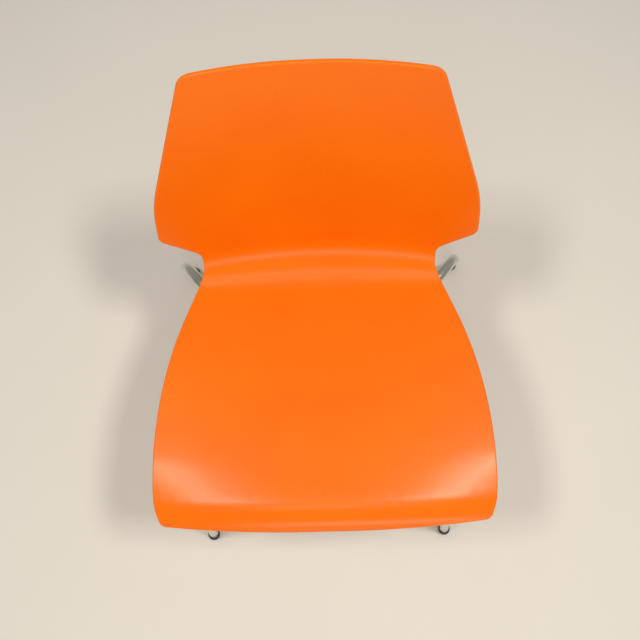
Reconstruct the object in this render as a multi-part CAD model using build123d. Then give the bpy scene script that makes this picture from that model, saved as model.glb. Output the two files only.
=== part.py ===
"""Stacking chair: a one-piece moulded shell bolted to two bent tubes that meet under the seat.

Frame of the part: millimetres, +Z up, the sitter faces -Y, origin on the floor at the middle of
the footprint. Every part is modelled in its assembled place and written to parts/ as STEP.
"""

from build123d import *

import math
import os

# ---- overall sizes (mm, degrees) --------------------------------------------------------------
SEAT_WIDTH = 450.0  # widest point of the seat, behind the front lip
SEAT_FRONT_Y = -259.5  # front edge of the lip
SEAT_CREST_Z = 458.5  # highest point of the front of the seat
OVERALL_HEIGHT = 776.0  # top of the back
BACK_WIDTH = 424.5  # across the wings at the bottom of the back
BACK_TOP_WIDTH = 277.0  # between the top corners, before they are rounded
WAIST_WIDTH = 325.5  # between the notches that the rear legs of a stacked chair pass
BASE_WIDTH = 526.0  # between rear foot centres
BASE_DEPTH = 520.0  # front to rear foot centres

# ---- shell form -------------------------------------------------------------------------------
SHELL_THICKNESS = 5.5
EDGE_ROUND = 1.8
LIP_RADIUS = 46.0
LIP_ANGLE = 62.0  # slope of the lip at its free edge
SEAT_SLOPE = 3.95  # fall of the seat towards the back
BACK_RECLINE = 14.7  # from upright
BEND_RADIUS = 55.0
BEND_CORNER_Y = 117.5  # where the seat and back centre lines would meet
SEAT_DISH = 10.0  # rise of the side edges over the centre, at the rear of the seat
LIP_FALL = 15.0  # drop of the front corners below the middle of the lip
BACK_RADIUS = 950.0  # hollow of the back in plan
LIP_FALL_END = 60.0  # behind the crest, where the front corners start to drop
FRONT_INSET = 9.5  # how far each front corner stays inside the widest point of the seat
FRONT_BOW = 17.5  # how far the lip's corners stay behind its middle, along the surface
TOP_ARCH = 7.0
FRONT_TAPER_END = 0.5  # behind the crest, where the seat reaches its full width
LIP_SPLIT = 34.0  # behind the crest, where the lip outline hands over to the seat outline
LIP_CUT_TILT = 45.0  # lean of the cut round the lip
SIDE_CORNER = 154.0  # behind the crest, where the sides turn in towards the waist
WAIST_Y = 100.5  # where the sides of the seat reach the waist
NOTCH_TOP = 38.0  # up the back from the bend corner, where the notch opens into the wing
WING_FLARE = 6.0  # how much wider the wing is at its lower corner than at its shoulder, each side
WING_TIP = 82.5  # up the back, the lower corner of the wing
WING_SHOULDER = 150.0  # up the back, where the sides start to taper
WAIST_SPLIT_SLOPE = 50.0  # slope of the bend where the seat outline hands over to the back outline
TAPER_RADIUS = 130.0
FRONT_BOW_RADIUS = 1100.0
TOP_ARCH_RADIUS = 1100.0
SEAT_SIDE_RADIUS = 560.0
WAIST_RADIUS = 12.0
NOTCH_RADIUS = 23.0
WING_RADIUS = 19.0
SHOULDER_RADIUS = 270.0
FRONT_CORNER_RADIUS = 10.0
TOP_CORNER_RADIUS = 19.5

# ---- frame ------------------------------------------------------------------------------------
TUBE_D = 16.0
TUBE_WALL = 1.5
FRAME_Z = 416.0  # tube centre line under the seat
CROSS_Y = -93.0  # where the two tubes meet
TUBE_GAP = 0.1  # between the two tubes at the crossing
REAR_ELBOW_X = 196.0
REAR_ELBOW_Y = 120.5
FRONT_ELBOW_X = 165.0
FRONT_ELBOW_Y = -226.0
FRONT_FOOT_X = 214.0
ELBOW_RADIUS = 50.0
APEX_RADIUS = 42.0

# ---- mounting ---------------------------------------------------------------------------------
PLATE_WIDTH = 150.0
PLATE_DEPTH = 132.0
PLATE_THICKNESS = 3.0
PLATE_CORNER = 14.0
PLATE_GAP = 0.1  # over the tubes and under the bosses
SCREW_D = 6.0
SCREW_HEAD_D = 12.0
SCREW_HEAD_H = 3.6
SCREW_SOCKET_D = 4.0
SCREW_SOCKET_DEPTH = 2.0
SCREW_HOLE_CLEARANCE = 0.3  # on the radius, in the plate and the washers
SCREW_REACH = 9.0  # screw length inside the insert
SCREW_SIDE_X = 60.0  # left and right screws, from the centre line
SCREW_FORE_AFT = 50.0  # front and rear screws, from the crossing
WASHER_D = 14.0
WASHER_THICKNESS = 1.2
WASHER_GAP = 0.02
INSERT_D = 9.0
INSERT_LENGTH = 11.0
INSERT_CLEARANCE = 0.02
THREAD_CLEARANCE = 0.02
BOSS_D = 22.0
BOSS_RIB = 3.0
BOSS_BITE = 3.0  # depth of the boss and ribs inside the shell, below its upper surface
WELD_D = 5.0
WELD_LENGTH = 26.0
WELD_CLEARANCE = 0.02

# ---- feet, buffers and pads -------------------------------------------------------------------
FOOT_D = 21.0
FOOT_SOLE = 6.0
FOOT_COVER = 18.0  # tube length inside the cap
FOOT_CLEARANCE = 0.05
FOOT_ROUND = 1.5
SADDLE_WALL = 3.0
SADDLE_GRIP = 3.0  # how far buffers and pads reach past the tube's centre line
SADDLE_CLEARANCE = 0.05
BUFFER_LENGTH = 26.0
BUFFER_SHELL_GAP = 0.2
PAD_LENGTH = 30.0
PAD_DROP = 8.0  # pad thickness below the tube
BUFFER_AT = {"front": 0.66, "rear": 0.74}  # share of the way from the crossing to the elbow
PAD_AT = {"front": 0.42, "rear": 0.50}
WELD_AT = {"front": 0.25, "rear": 0.24}

# ---- derived ----------------------------------------------------------------------------------
TILT = math.radians(SEAT_SLOPE)
RECLINE = math.radians(BACK_RECLINE)
LIP_SWEEP = math.radians(LIP_ANGLE) + TILT
TURN = math.pi / 2 - RECLINE + TILT
CREST_Y = SEAT_FRONT_Y + LIP_RADIUS * (math.sin(LIP_SWEEP - TILT) + math.sin(TILT))
BEND_CORNER_Z = SEAT_CREST_Z - (BEND_CORNER_Y - CREST_Y) * math.tan(TILT)
BEND_TANGENT = BEND_RADIUS * math.tan(TURN / 2)
LIP_LENGTH = LIP_RADIUS * LIP_SWEEP
BEND_START = (BEND_CORNER_Y - CREST_Y) / math.cos(TILT) - BEND_TANGENT
BEND_END = BEND_START + BEND_RADIUS * TURN
FRONT_WIDTH = SEAT_WIDTH - 2 * FRONT_INSET  # between the front corners, before they are rounded
BACK_LENGTH = (OVERALL_HEIGHT - BEND_CORNER_Z) / math.cos(RECLINE)
BACK_END = BEND_END + BACK_LENGTH - BEND_TANGENT
TUBE_R = TUBE_D / 2
PLATE_BOTTOM = FRAME_Z + TUBE_R + PLATE_GAP
PLATE_TOP = PLATE_BOTTOM + PLATE_THICKNESS
BOSS_BOTTOM = PLATE_TOP + PLATE_GAP
SIDES = {"left": 1, "right": -1}  # the sitter's own left is +X
ELBOWS = {"front": (FRONT_ELBOW_X, FRONT_ELBOW_Y), "rear": (REAR_ELBOW_X, REAR_ELBOW_Y)}
FEET = {"front": (FRONT_FOOT_X, -BASE_DEPTH / 2), "rear": (BASE_WIDTH / 2, BASE_DEPTH / 2)}
SCREW_PLACES = {
    "front": (0, CROSS_Y - SCREW_FORE_AFT),
    "rear": (0, CROSS_Y + SCREW_FORE_AFT),
    "left": (SCREW_SIDE_X, CROSS_Y),
    "right": (-SCREW_SIDE_X, CROSS_Y),
}


# ---- shell ------------------------------------------------------------------------------------
def smooth(value, low, high):
    """0 below low, 1 above high and an S-curve between."""
    t = min(max((value - low) / (high - low), 0.0), 1.0)
    return t * t * (3 - 2 * t)


def centre_line(s):
    """Point (y, z) and slope of the upper surface, s along it from the crest of the seat."""
    if s < 0:
        swept = min(-s / LIP_RADIUS, LIP_SWEEP)
        slope = swept - TILT
        y = CREST_Y - LIP_RADIUS * (math.sin(slope) + math.sin(TILT))
        z = SEAT_CREST_Z - LIP_RADIUS * (math.cos(TILT) - math.cos(slope))
        over = -s - LIP_RADIUS * swept
        return y - over * math.cos(slope), z - over * math.sin(slope), slope
    flat = min(s, BEND_START)
    turned = min(max(s - BEND_START, 0.0) / BEND_RADIUS, TURN)
    over = max(s - BEND_END, 0.0)
    slope = turned - TILT
    y = CREST_Y + flat * math.cos(TILT) + BEND_RADIUS * (math.sin(slope) + math.sin(TILT))
    z = SEAT_CREST_Z - flat * math.sin(TILT) + BEND_RADIUS * (math.cos(TILT) - math.cos(slope))
    return y + over * math.cos(slope), z + over * math.sin(slope), slope


def upper_point(x, s):
    """Upper surface of the shell: the centre line lifted towards the sitter by the hollows."""
    y, z, slope = centre_line(s)
    share = abs(x) / (SEAT_WIDTH / 2)
    in_back = smooth(s, BEND_START, BEND_END)
    seat_lift = SEAT_DISH * smooth(s, 0.0, BEND_START) * share**2.2
    lip_fall = LIP_FALL * (1 - smooth(s, -LIP_LENGTH, LIP_FALL_END)) * share**3
    lift = (1 - in_back) * seat_lift + in_back * x * x / (2 * BACK_RADIUS)
    return Vector(x, y - lift * math.sin(slope), z + lift * math.cos(slope) - lip_fall)


def oversize_shell():
    """Thick shell that runs past its outline on every side."""
    reach = SEAT_WIDTH / 2 + 12
    first, last = -LIP_LENGTH - 10, BACK_END + 12
    rows, columns = 66, 24
    grid = []
    for j in range(rows + 1):
        s = first + (last - first) * j / rows
        grid.append([upper_point(reach * (2 * i / columns - 1), s) for i in range(columns + 1)])
    face = Face.make_surface_from_array_of_points(grid, tol=0.02, min_deg=3, max_deg=5)
    return Solid.thicken(face, SHELL_THICKNESS)


def rounded(points):
    """Edges along a polyline whose inner corners are arcs: points are (x, y, corner radius)."""
    corners = [Vector(x, y) for x, y, _ in points]
    edges = []
    start = corners[0]
    for i in range(1, len(points) - 1):
        radius = points[i][2]
        back = (corners[i - 1] - corners[i]).normalized()
        ahead = (corners[i + 1] - corners[i]).normalized()
        half = math.acos(back.dot(ahead)) / 2
        leave = corners[i] + back * (radius / math.tan(half))
        join = corners[i] + ahead * (radius / math.tan(half))
        middle = corners[i] + (back + ahead).normalized() * (radius / math.sin(half) - radius)
        edges.append(Edge.make_line(start, leave))
        edges.append(Edge.make_three_point_arc(leave, middle, join))
        start = join
    edges.append(Edge.make_line(start, corners[-1]))
    return edges


def symmetric_face(points):
    """Face between a rounded polyline on the +X side and its mirror image."""
    right = rounded(points)
    edges = right + [edge.mirror(Plane.YZ) for edge in right]
    for x, y, _ in (points[0], points[-1]):
        if x > 0:
            edges.append(Edge.make_line(Vector(-x, y), Vector(x, y)))
    return Face(Wire(edges))


def lip_prism():
    """Front of the outline, drawn square to the steep part of the lip."""
    tilt = math.radians(LIP_CUT_TILT)
    edge_y, edge_z, _ = centre_line(-LIP_LENGTH)
    plane = Plane(
        origin=(0, edge_y, edge_z),
        x_dir=(1, 0, 0),
        z_dir=(0, -math.sin(tilt), math.cos(tilt)),
    )
    corner = plane.to_local_coords(upper_point(FRONT_WIDTH / 2, FRONT_BOW - LIP_LENGTH))
    taper = plane.to_local_coords(upper_point(SEAT_WIDTH / 2, FRONT_TAPER_END))
    face = symmetric_face([
        (0, 0, 0),
        (FRONT_WIDTH / 7, 0, FRONT_BOW_RADIUS),
        (FRONT_WIDTH / 2, corner.Y, FRONT_CORNER_RADIUS),
        (SEAT_WIDTH / 2, taper.Y, TAPER_RADIUS),
        (SEAT_WIDTH / 2, taper.Y + 90, 0),
    ])
    return plane * extrude(face, 150, both=True)


def seat_prism():
    """Plan outline of the seat from behind the lip into the bend."""
    face = symmetric_face([
        (SEAT_WIDTH / 2, CREST_Y, 0),
        (SEAT_WIDTH / 2, CREST_Y + SIDE_CORNER, SEAT_SIDE_RADIUS),
        (WAIST_WIDTH / 2, WAIST_Y, WAIST_RADIUS),
        (WAIST_WIDTH / 2, BEND_CORNER_Y + 60, 0),
    ])
    return extrude(face, 2 * SEAT_CREST_Z)


def back_prism():
    """Outline of the back, drawn in its own plane."""
    plane = Plane(
        origin=(0, BEND_CORNER_Y, BEND_CORNER_Z),
        x_dir=(1, 0, 0),
        z_dir=(0, -math.cos(RECLINE), math.sin(RECLINE)),
    )
    face = symmetric_face([
        (WAIST_WIDTH / 2, -20, 0),
        (WAIST_WIDTH / 2, NOTCH_TOP, NOTCH_RADIUS),
        (BACK_WIDTH / 2, WING_TIP, WING_RADIUS),
        (BACK_WIDTH / 2 - WING_FLARE, WING_SHOULDER, SHOULDER_RADIUS),
        (BACK_TOP_WIDTH / 2, BACK_LENGTH - TOP_ARCH, TOP_CORNER_RADIUS),
        (BACK_TOP_WIDTH / 4, BACK_LENGTH, TOP_ARCH_RADIUS),
        (0, BACK_LENGTH, 0),
    ])
    return plane * extrude(face, 140, both=True)


def trimmers():
    """The whole outline: three prisms that hand over where the sides run straight."""
    behind_lip = Plane.XZ.offset(-CREST_Y - LIP_SPLIT)
    start_y, start_z, _ = centre_line(BEND_START)
    slope = math.radians(WAIST_SPLIT_SLOPE)
    in_bend = Plane(
        origin=(
            0,
            start_y + BEND_RADIUS * math.sin(TILT),
            start_z + BEND_RADIUS * math.cos(TILT),
        ),
        x_dir=(1, 0, 0),
        z_dir=(0, math.cos(slope), math.sin(slope)),
    )
    lip = lip_prism().split(behind_lip, keep=Keep.TOP)
    seat = seat_prism().split(behind_lip, keep=Keep.BOTTOM).split(in_bend, keep=Keep.BOTTOM)
    back = back_prism().split(in_bend, keep=Keep.TOP)
    return lip, seat, back


def trimmed_shell():
    """Shell cut to its outline, with rounded edges: the lip, seat and back pieces joined."""
    thick = oversize_shell()
    pieces = [thick & prism for prism in trimmers()]
    shell = (pieces[0] + pieces[1] + pieces[2]).solid()
    for _ in range(2):
        largest = shell.faces().sort_by(SortBy.AREA)[-1]
        shell = shell.fillet(EDGE_ROUND, largest.edges())
    return shell


def seat_top_z(x, y):
    """Height of the seat's upper surface over a place between the crest and the bend."""
    return upper_point(x, (y - CREST_Y) / math.cos(TILT)).Z


def upright(radius, bottom, top, place):
    """Vertical cylinder between two heights."""
    x, y = place
    cylinder = Cylinder(radius, top - bottom, align=(Align.CENTER, Align.CENTER, Align.MIN))
    return cylinder.moved(Location((x, y, bottom)))


def slab(x0, x1, y0, y1, z0, z1):
    """Box between two corners."""
    box = Box(x1 - x0, y1 - y0, z1 - z0, align=(Align.MIN, Align.MIN, Align.MIN))
    return box.moved(Location((x0, y0, z0)))


def make_seat_shell():
    """Moulded shell with four bosses tied by ribs underneath, each bored for its insert."""
    shell = trimmed_shell()
    for place in SCREW_PLACES.values():
        shell += upright(BOSS_D / 2, BOSS_BOTTOM, seat_top_z(*place) - BOSS_BITE, place)
    rib_bottom = BOSS_BOTTOM + BOSS_RIB
    half = BOSS_RIB / 2
    side_top = seat_top_z(0, CROSS_Y) - BOSS_BITE
    rear_top = seat_top_z(*SCREW_PLACES["rear"]) - BOSS_BITE
    reach = SCREW_SIDE_X
    shell += slab(-reach, reach, CROSS_Y - half, CROSS_Y + half, rib_bottom, side_top)
    reach = SCREW_FORE_AFT
    shell += slab(-half, half, CROSS_Y - reach, CROSS_Y + reach, rib_bottom, rear_top)
    for place in SCREW_PLACES.values():
        shell -= upright(
            INSERT_D / 2 + INSERT_CLEARANCE,
            BOSS_BOTTOM - 1,
            BOSS_BOTTOM + INSERT_LENGTH + INSERT_CLEARANCE,
            place,
        )
    return shell.solid()


# ---- frame ------------------------------------------------------------------------------------
def apex_y(end):
    """Where the two straight arms of a tube would meet, so that its bend just clears CROSS_Y."""
    x, y = ELBOWS[end]
    side = 1 if end == "rear" else -1
    crown = CROSS_Y + side * (TUBE_R + TUBE_GAP / 2)
    corner = crown
    for _ in range(40):
        half = math.atan2(x, abs(y - corner))
        corner = crown - side * APEX_RADIUS * (1 / math.sin(half) - 1)
    return corner


def leg_line(end):
    """Points of the right-hand half of a tube: crossing, elbow corner and foot on the floor."""
    x, y = ELBOWS[end]
    foot_x, foot_y = FEET[end]
    return Vector(0, apex_y(end), FRAME_Z), Vector(x, y, FRAME_Z), Vector(foot_x, foot_y, 0)


def mirror_x(point):
    return Vector(-point.X, point.Y, point.Z)


def bent_path(end):
    """Centre line of a tube from foot to foot, with a bend at each elbow and at the crossing."""
    apex, elbow, foot = leg_line(end)
    tip = foot + (elbow - foot).normalized() * FOOT_SOLE
    corners = [mirror_x(tip), mirror_x(elbow), apex, elbow, tip]
    radii = [0, ELBOW_RADIUS, APEX_RADIUS, ELBOW_RADIUS, 0]
    edges = []
    start = corners[0]
    for i in range(1, 4):
        back = (corners[i - 1] - corners[i]).normalized()
        ahead = (corners[i + 1] - corners[i]).normalized()
        half = math.acos(back.dot(ahead)) / 2
        reach = radii[i] / math.tan(half)
        leave, join = corners[i] + back * reach, corners[i] + ahead * reach
        inward = (back + ahead).normalized() * (radii[i] / math.sin(half) - radii[i])
        edges.append(Edge.make_line(start, leave))
        edges.append(Edge.make_three_point_arc(leave, corners[i] + inward, join))
        start = join
    edges.append(Edge.make_line(start, corners[-1]))
    return Wire(edges)


def swept_rod(end, radius):
    path = bent_path(end)
    start = Plane(origin=path.position_at(0), z_dir=path.tangent_at(0))
    return sweep(start * Circle(radius), path=path)


def make_leg_tube(end):
    """One tube bent from foot to foot."""
    return (swept_rod(end, TUBE_R) - swept_rod(end, TUBE_R - TUBE_WALL)).solid()


def arm_direction(end, side):
    """Unit vector along a tube's arm, from the crossing out to an elbow."""
    apex, elbow, _ = leg_line(end)
    along = (elbow - apex).normalized()
    return along if side > 0 else mirror_x(along)


def arm_plane(end, side, share):
    """Plane on an arm: x along the arm, z up, at a share of the way to the elbow."""
    apex, elbow, _ = leg_line(end)
    middle = apex + (elbow - apex) * share
    if side < 0:
        middle = mirror_x(middle)
    return Plane(origin=middle, x_dir=arm_direction(end, side), z_dir=(0, 0, 1))


def along_arm(end, side, share, length, radius):
    """Rod on an arm's centre line."""
    plane = arm_plane(end, side, share)
    return plane * Cylinder(radius, length, rotation=(0, 90, 0))


def make_mounting_plate():
    """Steel plate on top of both tubes, with a hole for each screw."""
    outline = RectangleRounded(PLATE_WIDTH, PLATE_DEPTH, PLATE_CORNER)
    plate = extrude(outline, PLATE_THICKNESS).moved(Location((0, CROSS_Y, PLATE_BOTTOM)))
    for place in SCREW_PLACES.values():
        plate -= upright(SCREW_D / 2 + SCREW_HOLE_CLEARANCE, PLATE_BOTTOM - 1, PLATE_TOP + 1, place)
    return plate.solid()


def make_weld(end):
    """Four beads in the corners between one tube and the underside of the plate."""
    drop = WELD_D / 4
    offset = math.sqrt(TUBE_R**2 - (TUBE_R - WELD_D / 2) ** 2)
    beads = []
    for side in SIDES.values():
        arm = along_arm(end, side, WELD_AT[end], 3 * WELD_LENGTH, TUBE_R + WELD_CLEARANCE)
        plane = arm_plane(end, side, WELD_AT[end])
        for edge in (1, -1):
            bead = Cylinder(WELD_D / 2, WELD_LENGTH, rotation=(0, 90, 0))
            bead = bead.moved(Location((0, edge * offset, TUBE_R - drop)))
            bead = plane * bead - arm
            beads.append(bead - slab(-200, 200, -400, 200, PLATE_BOTTOM - WELD_CLEARANCE, FRAME_Z + 60))
    return Compound(children=[bead.solid() for bead in beads])


def make_screw(place):
    """Pan-head screw from below, through the washer and plate into its insert."""
    head_top = PLATE_BOTTOM - WASHER_THICKNESS - 2 * WASHER_GAP
    head = upright(SCREW_HEAD_D / 2, head_top - SCREW_HEAD_H, head_top, place)
    head = fillet(head.edges().group_by(Axis.Z)[0], SCREW_HEAD_H / 3)
    shank = upright(SCREW_D / 2, head_top - 1, BOSS_BOTTOM + SCREW_REACH, place)
    bottom = head_top - SCREW_HEAD_H
    x, y = place
    socket = extrude(RegularPolygon(SCREW_SOCKET_D / 2, 6), SCREW_SOCKET_DEPTH)
    return (head + shank - socket.moved(Location((x, y, bottom)))).solid()


def make_washer(place):
    top = PLATE_BOTTOM - WASHER_GAP
    ring = upright(WASHER_D / 2, top - WASHER_THICKNESS, top, place)
    hole = upright(SCREW_D / 2 + SCREW_HOLE_CLEARANCE, top - 5, top + 5, place)
    return (ring - hole).solid()


def make_insert(place):
    """Threaded brass sleeve inside a boss, flush with its face."""
    top = BOSS_BOTTOM + INSERT_LENGTH
    sleeve = upright(INSERT_D / 2, BOSS_BOTTOM, top, place)
    return (sleeve - upright(SCREW_D / 2 + THREAD_CLEARANCE, BOSS_BOTTOM - 1, top + 1, place)).solid()


# ---- feet, buffers and pads -------------------------------------------------------------------
def make_foot(end, side):
    """Cap over the end of a leg, cut flat where it stands on the floor."""
    _, elbow, foot = leg_line(end)
    if side < 0:
        elbow, foot = mirror_x(elbow), mirror_x(foot)
    along = (elbow - foot).normalized()
    plane = Plane(origin=foot, z_dir=along)
    up = (Align.CENTER, Align.CENTER, Align.MIN)
    reach = FOOT_SOLE + FOOT_COVER
    body = Cylinder(FOOT_D / 2, reach + FOOT_D, align=up).moved(Location((0, 0, -FOOT_D)))
    body = fillet(body.edges().group_by(Axis.Z)[-1], FOOT_ROUND)
    bore = Cylinder(TUBE_R + FOOT_CLEARANCE, 2 * reach, align=up)
    body -= bore.moved(Location((0, 0, FOOT_SOLE - FOOT_CLEARANCE)))
    floor = slab(-400, 400, -400, 400, -100, 0)
    return (plane * body - floor).solid()


def make_buffer(end, side, shell):
    """Saddle that grips an arm from above and carries the shell."""
    width = TUBE_D + 2 * SADDLE_WALL
    height = SEAT_CREST_Z - FRAME_Z + 40
    block = Box(BUFFER_LENGTH, width, height, align=(Align.CENTER, Align.CENTER, Align.MIN))
    block = arm_plane(end, side, BUFFER_AT[end]) * block.moved(Location((0, 0, -SADDLE_GRIP)))
    rod = along_arm(end, side, BUFFER_AT[end], 2 * BUFFER_LENGTH, TUBE_R + SADDLE_CLEARANCE)
    cut = block - rod - shell.moved(Location((0, 0, -BUFFER_SHELL_GAP)))
    return cut.solids().sort_by(Axis.Z)[0]


def make_pad(end, side):
    """Pad clipped under an arm, which rests on the chair below in a stack."""
    width = TUBE_D + 2 * SADDLE_WALL
    height = SADDLE_GRIP + TUBE_R + PAD_DROP
    block = Box(PAD_LENGTH, width, height, align=(Align.CENTER, Align.CENTER, Align.MAX))
    block = fillet(block.edges().group_by(Axis.Z)[0], SADDLE_WALL)
    block = arm_plane(end, side, PAD_AT[end]) * block.moved(Location((0, 0, SADDLE_GRIP)))
    rod = along_arm(end, side, PAD_AT[end], 2 * PAD_LENGTH, TUBE_R + SADDLE_CLEARANCE)
    return (block - rod).solid()


# ---- assembly ---------------------------------------------------------------------------------
def build_parts():
    """Every node by name."""
    shell = make_seat_shell()
    parts = {"seat_shell": shell, "mounting_plate": make_mounting_plate()}
    for end in ELBOWS:
        parts[f"{end}_leg_tube"] = make_leg_tube(end)
        parts[f"{end}_weld"] = make_weld(end)
        for name, side in SIDES.items():
            parts[f"foot_cap_{end}_{name}"] = make_foot(end, side)
            parts[f"support_buffer_{end}_{name}"] = make_buffer(end, side, shell)
            parts[f"stacking_pad_{end}_{name}"] = make_pad(end, side)
    for name, place in SCREW_PLACES.items():
        parts[f"mounting_screw_{name}"] = make_screw(place)
        parts[f"washer_{name}"] = make_washer(place)
        parts[f"threaded_insert_{name}"] = make_insert(place)
    return parts


os.makedirs("parts", exist_ok=True)
for part_name, part in build_parts().items():
    part.label = part_name
    export_step(part, f"parts/{part_name}.step")
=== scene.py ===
"""Looks of the stacking chair: procedural materials on the CAD nodes, soft studio light and camera."""

import math

import bpy
from mathutils import Matrix, Vector

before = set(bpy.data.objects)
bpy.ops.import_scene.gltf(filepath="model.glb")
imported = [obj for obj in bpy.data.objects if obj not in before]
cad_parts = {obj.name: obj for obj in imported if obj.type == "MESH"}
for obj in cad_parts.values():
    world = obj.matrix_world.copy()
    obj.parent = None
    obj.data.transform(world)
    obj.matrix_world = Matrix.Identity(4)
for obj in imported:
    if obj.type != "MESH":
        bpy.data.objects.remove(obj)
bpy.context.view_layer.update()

CAMERA_PLACE = (0.0129, -0.2571, 1.4355)
CAMERA_YAW = 2.82  # degrees about Z
CAMERA_PITCH = 15.89  # degrees from straight down
CAMERA_ROLL = -4.28
LENS_MM = 41.6
SENSOR_MM = 36.0

LIGHT_COLOUR = (1.0, 0.92, 0.78)
SURROUNDINGS_COLOUR = (1.0, 0.95, 0.86, 1.0)
SURROUNDINGS_LEVEL = 0.32
TOP_LIGHT_HEIGHT = 2.6
TOP_LIGHT_SIZE = (0.35, 0.25)
SEAT_MIDDLE = (0.0, -0.1, 0.45)
FLOOR_HALF = 6.0

GRAIN_DEPTH = 0.0002
POLISH_DEPTH = 0.0001
EDGE_MASK_GAIN = 6.0  # how fast the pale edge comes up as an edge gets sharper: wear on the small parts, painted highlight on the shell rims


def linear(r, g, b):
    """sRGB 0-255 to a linear colour with alpha."""
    channels = []
    for value in (r, g, b):
        c = value / 255
        channels.append(c / 12.92 if c <= 0.04045 else ((c + 0.055) / 1.055) ** 2.4)
    return (*channels, 1.0)


# ---- node helpers -----------------------------------------------------------------------------
def add_node(tree, kind, place=(0, 0), **inputs):
    """New node with its sockets set by name; underscores in a name stand for spaces."""
    node = tree.nodes.new(kind)
    node.location = place
    for name, value in inputs.items():
        node.inputs[name.replace("_", " ")].default_value = value
    return node


def new_group(name, inputs, outputs):
    """Empty shader group with named float inputs (name, default) and outputs (name, socket type)."""
    group = bpy.data.node_groups.new(name, "ShaderNodeTree")
    for label, default in inputs:
        socket = group.interface.new_socket(label, in_out="INPUT", socket_type="NodeSocketFloat")
        socket.default_value = default
    for label, kind in outputs:
        group.interface.new_socket(label, in_out="OUTPUT", socket_type=kind)
    group.nodes.new("NodeGroupInput").location = (-800, 0)
    group.nodes.new("NodeGroupOutput").location = (600, 0)
    return group


def ends(group):
    """The group's input and output nodes."""
    first = next(n for n in group.nodes if n.type == "GROUP_INPUT")
    last = next(n for n in group.nodes if n.type == "GROUP_OUTPUT")
    return first.outputs, last.inputs


def math_node(group, operation, a, b):
    """Math node whose operands are sockets or numbers; returns its output."""
    node = group.nodes.new("ShaderNodeMath")
    node.operation = operation
    for slot, value in enumerate((a, b)):
        if isinstance(value, (int, float)):
            node.inputs[slot].default_value = value
        else:
            group.links.new(value, node.inputs[slot])
    return node.outputs[0]


def grain_group():
    """Fine moulded grain: a height and a mask from two sizes of noise in object space."""
    group = new_group(
        "moulded_grain",
        [("Scale", 900.0), ("Coarse Scale", 9.0)],
        [("Height", "NodeSocketFloat"), ("Blotch", "NodeSocketFloat")],
    )
    given, out = ends(group)
    where = group.nodes.new("ShaderNodeTexCoord")
    fine = add_node(group, "ShaderNodeTexNoise", (-300, 200), Detail=3.0, Roughness=0.6)
    blotch = add_node(group, "ShaderNodeTexNoise", (-300, -200), Detail=4.0, Roughness=0.5)
    group.links.new(where.outputs["Object"], fine.inputs["Vector"])
    group.links.new(where.outputs["Object"], blotch.inputs["Vector"])
    group.links.new(given["Scale"], fine.inputs["Scale"])
    group.links.new(given["Coarse Scale"], blotch.inputs["Scale"])
    group.links.new(fine.outputs["Fac"], out["Height"])
    group.links.new(blotch.outputs["Fac"], out["Blotch"])
    return group


def edge_mask_group():
    """Pale-edge mask: 1 where the bevelled normal leaves the true one, broken up by noise; it carries
    wear on the small parts and a painted highlight along the shell rims.
    """
    group = new_group(
        "edge_wear_and_highlight",
        [("Radius", 0.0015), ("Strength", 1.0), ("Break Up Scale", 120.0)],
        [("Mask", "NodeSocketFloat")],
    )
    given, out = ends(group)
    bevel = group.nodes.new("ShaderNodeBevel")
    bevel.samples = 4
    true_normal = group.nodes.new("ShaderNodeNewGeometry")
    dot = group.nodes.new("ShaderNodeVectorMath")
    dot.operation = "DOT_PRODUCT"
    where = group.nodes.new("ShaderNodeTexCoord")
    noise = add_node(group, "ShaderNodeTexNoise", (-300, -200), Detail=4.0)
    group.links.new(given["Radius"], bevel.inputs["Radius"])
    group.links.new(bevel.outputs["Normal"], dot.inputs[0])
    group.links.new(true_normal.outputs["Normal"], dot.inputs[1])
    group.links.new(where.outputs["Object"], noise.inputs["Vector"])
    group.links.new(given["Break Up Scale"], noise.inputs["Scale"])
    bent = math_node(group, "SUBTRACT", 1.0, dot.outputs["Value"])
    raised = math_node(group, "MULTIPLY", bent, EDGE_MASK_GAIN)
    broken = math_node(group, "MULTIPLY", raised, noise.outputs["Fac"])
    scaled = math_node(group, "MULTIPLY", broken, given["Strength"])
    clamp = group.nodes.new("ShaderNodeClamp")
    group.links.new(scaled, clamp.inputs["Value"])
    group.links.new(clamp.outputs["Result"], out["Mask"])
    return group


GRAIN, EDGE_MASK_GROUP = grain_group(), edge_mask_group()


def use_group(tree, group, **inputs):
    """Instance of a shader group with its sockets set by name."""
    node = tree.nodes.new("ShaderNodeGroup")
    node.node_tree = group
    for name, value in inputs.items():
        node.inputs[name.replace("_", " ")].default_value = value
    return node


def mix_colour(tree, factor, first, second):
    """Colour mix whose factor is a socket and whose colours are sockets or values."""
    mix = tree.nodes.new("ShaderNodeMix")
    mix.data_type = "RGBA"
    tree.links.new(factor, mix.inputs["Factor"])
    for label, value in (("A", first), ("B", second)):
        socket = next(s for s in mix.inputs if s.name == label and s.type == "RGBA")
        if isinstance(value, tuple):
            socket.default_value = value
        else:
            tree.links.new(value, socket)
    return next(s for s in mix.outputs if s.type == "RGBA")


def spread(tree, value, low, high, new_low, new_high):
    """Map Range from a socket; returns its result."""
    node = add_node(tree, "ShaderNodeMapRange", From_Min=low, From_Max=high)
    node.inputs["To Min"].default_value = new_low
    node.inputs["To Max"].default_value = new_high
    tree.links.new(value, node.inputs["Value"])
    return node.outputs["Result"]


def start_material(name):
    """New node material; returns it with its tree and Principled BSDF."""
    material = bpy.data.materials.new(name)
    material.use_nodes = True
    tree = material.node_tree
    shader = next(n for n in tree.nodes if n.type == "BSDF_PRINCIPLED")
    return material, tree, shader


def add_bump(tree, shader, height, strength, distance):
    """Bump from a height socket into the shader's normal."""
    bump = add_node(tree, "ShaderNodeBump", Strength=strength, Distance=distance)
    tree.links.new(height, bump.inputs["Height"])
    tree.links.new(bump.outputs["Normal"], shader.inputs["Normal"])


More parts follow.
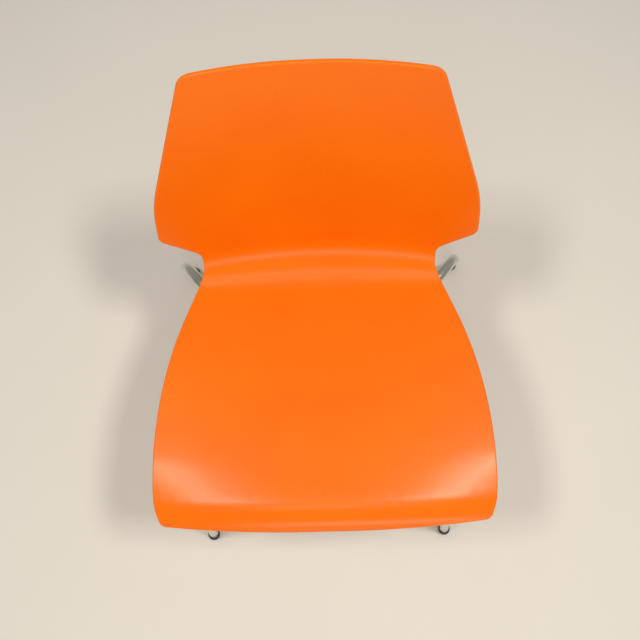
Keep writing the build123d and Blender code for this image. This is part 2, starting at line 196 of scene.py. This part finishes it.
def plastic(name, colour, dark, pale_edge_colour, roughness, grain_scale, bump, specular=0.5, edge_width=0.0012):
    """Moulded plastic: blotchy colour, paler edges and fine grain; the paler edge is a painted
    highlight along the orange shell rims and wear on the black parts.
    """
    material, tree, shader = start_material(name)
    grain = use_group(tree, GRAIN, Scale=grain_scale, Coarse_Scale=7.0)
    edge_mask = use_group(tree, EDGE_MASK_GROUP, Radius=edge_width, Strength=0.8)
    blotch = spread(tree, grain.outputs["Blotch"], 0.3, 0.7, 0.0, 1.0)
    base = mix_colour(tree, blotch, dark, colour)
    # pale edge colour over the base: painted highlight on the shell rims, wear on the black parts
    edged = mix_colour(tree, edge_mask.outputs["Mask"], base, pale_edge_colour)
    tree.links.new(edged, shader.inputs["Base Color"])
    rough = spread(tree, grain.outputs["Height"], 0.3, 0.7, roughness - 0.05, roughness + 0.05)
    tree.links.new(rough, shader.inputs["Roughness"])
    shader.inputs["Specular IOR Level"].default_value = specular
    add_bump(tree, shader, grain.outputs["Height"], bump, GRAIN_DEPTH)
    return material


def metal(name, colour, dark, roughness, line_scale=260.0, bump=0.05):
    """Plated or plain metal: slight tarnish, polishing lines and rougher patches."""
    material, tree, shader = start_material(name)
    grain = use_group(tree, GRAIN, Scale=line_scale, Coarse_Scale=24.0)
    edge_mask = use_group(tree, EDGE_MASK_GROUP, Radius=0.0006, Strength=0.5)
    blotch = spread(tree, grain.outputs["Blotch"], 0.35, 0.65, 0.0, 1.0)
    base = mix_colour(tree, blotch, dark, colour)
    edged = mix_colour(tree, edge_mask.outputs["Mask"], base, colour)
    tree.links.new(edged, shader.inputs["Base Color"])
    rough = spread(tree, grain.outputs["Blotch"], 0.3, 0.7, roughness - 0.04, roughness + 0.08)
    tree.links.new(rough, shader.inputs["Roughness"])
    shader.inputs["Metallic"].default_value = 1.0
    add_bump(tree, shader, grain.outputs["Height"], bump, POLISH_DEPTH)
    return material


# ---- materials on the CAD nodes ---------------------------------------------------------------
MATERIALS = {
    "seat_shell": plastic(
        "orange_polypropylene",
        linear(255, 120, 0),
        linear(250, 113, 0),
        # paler edge colour: painted highlight where light catches the shell's rounded rims
        linear(255, 160, 84),
        roughness=0.28,
        grain_scale=1100.0,
        bump=0.35,
        specular=0.28,
        # width of the painted highlight band along the shell rims
        edge_width=0.002,
    ),
    "leg_tube": metal("satin_chrome", linear(214, 216, 208), linear(190, 192, 186), 0.24),
    "weld": metal("weld_steel", linear(170, 168, 160), linear(120, 112, 100), 0.4, bump=0.4),
    "mounting_plate": metal("plate_steel", linear(186, 188, 186), linear(160, 162, 160), 0.38),
    "screw": metal("zinc_screw", linear(196, 196, 188), linear(168, 166, 156), 0.32),
    "insert": metal("insert_brass", linear(212, 170, 96), linear(180, 138, 70), 0.3),
    "foot_cap": plastic(
        "black_foot", linear(26, 26, 27), linear(18, 18, 19), linear(64, 63, 62), 0.5, 900.0, 0.3
    ),
    "support_buffer": plastic(
        "black_buffer", linear(30, 30, 31), linear(22, 22, 23), linear(60, 60, 60), 0.45, 900.0, 0.3
    ),
    "stacking_pad": plastic(
        "black_pad", linear(24, 24, 24), linear(17, 17, 17), linear(52, 51, 50), 0.62, 700.0, 0.5
    ),
}
WORDS = {
    "seat_shell": "seat_shell",
    "leg_tube": "leg_tube",
    "weld": "weld",
    "mounting_plate": "mounting_plate",
    "mounting_screw": "screw",
    "washer": "screw",
    "threaded_insert": "insert",
    "foot_cap": "foot_cap",
    "support_buffer": "support_buffer",
    "stacking_pad": "stacking_pad",
}
for node_name, node_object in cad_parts.items():
    word = next(key for key in WORDS if key in node_name)
    node_object.data.materials.clear()
    node_object.data.materials.append(MATERIALS[WORDS[word]])


# ---- stage ------------------------------------------------------------------------------------
def make_floor():
    """Plain pale floor around the chair."""
    material, tree, shader = start_material("pale_floor")
    grain = use_group(tree, GRAIN, Scale=60.0, Coarse_Scale=3.0)
    base = mix_colour(tree, grain.outputs["Blotch"], linear(240, 239, 236), linear(246, 245, 243))
    tree.links.new(base, shader.inputs["Base Color"])
    shader.inputs["Roughness"].default_value = 0.85
    mesh = bpy.data.meshes.new("floor")
    corners = [(x * FLOOR_HALF, y * FLOOR_HALF, 0) for x, y in ((-1, -1), (1, -1), (1, 1), (-1, 1))]
    mesh.from_pydata(corners, [], [(0, 1, 2, 3)])
    mesh.materials.append(material)
    floor = bpy.data.objects.new("floor", mesh)
    bpy.context.scene.collection.objects.link(floor)


def area_light(name, place, target, size, power):
    """Soft box, width by height, that faces a target."""
    data = bpy.data.lights.new(name, "AREA")
    data.shape = "RECTANGLE"
    data.size, data.size_y = size
    data.energy = power
    data.color = LIGHT_COLOUR
    light = bpy.data.objects.new(name, data)
    light.location = place
    aim = Vector(target) - Vector(place)
    light.rotation_euler = aim.to_track_quat("-Z", "Y").to_euler()
    bpy.context.scene.collection.objects.link(light)


def make_camera():
    """Camera from its place, its angle from straight down, its turn about Z and its roll."""
    data = bpy.data.cameras.new("camera")
    data.lens = LENS_MM
    data.sensor_width = SENSOR_MM
    data.dof.use_dof = False
    camera = bpy.data.objects.new("camera", data)
    turn = Matrix.Rotation(math.radians(CAMERA_YAW), 4, "Z")
    pitch = Matrix.Rotation(math.radians(CAMERA_PITCH), 4, "X")
    roll = Matrix.Rotation(math.radians(CAMERA_ROLL), 4, "Z")
    camera.matrix_world = Matrix.Translation(CAMERA_PLACE) @ turn @ pitch @ roll
    bpy.context.scene.collection.objects.link(camera)
    bpy.context.scene.camera = camera


def make_world():
    """Even pale surroundings."""
    world = bpy.data.worlds.new("studio")
    world.use_nodes = True
    background = next(n for n in world.node_tree.nodes if n.type == "BACKGROUND")
    background.inputs["Color"].default_value = SURROUNDINGS_COLOUR
    background.inputs["Strength"].default_value = SURROUNDINGS_LEVEL
    bpy.context.scene.world = world


make_floor()
make_world()
area_light("top_left", (-0.72, -0.22, TOP_LIGHT_HEIGHT), SEAT_MIDDLE, TOP_LIGHT_SIZE, power=15.0)
area_light("top_right", (0.75, -0.27, TOP_LIGHT_HEIGHT), SEAT_MIDDLE, TOP_LIGHT_SIZE, power=21.0)
area_light("top_front", (0.0, -1.05, TOP_LIGHT_HEIGHT), (0.0, -0.2, 0.45), (0.8, 0.25), power=4.0)
area_light("low_front", (0.3, -2.5, 0.75), (0.0, 0.1, 0.55), (1.4, 0.15), power=10.0)
make_camera()
bpy.context.scene.view_settings.view_transform = "Standard"
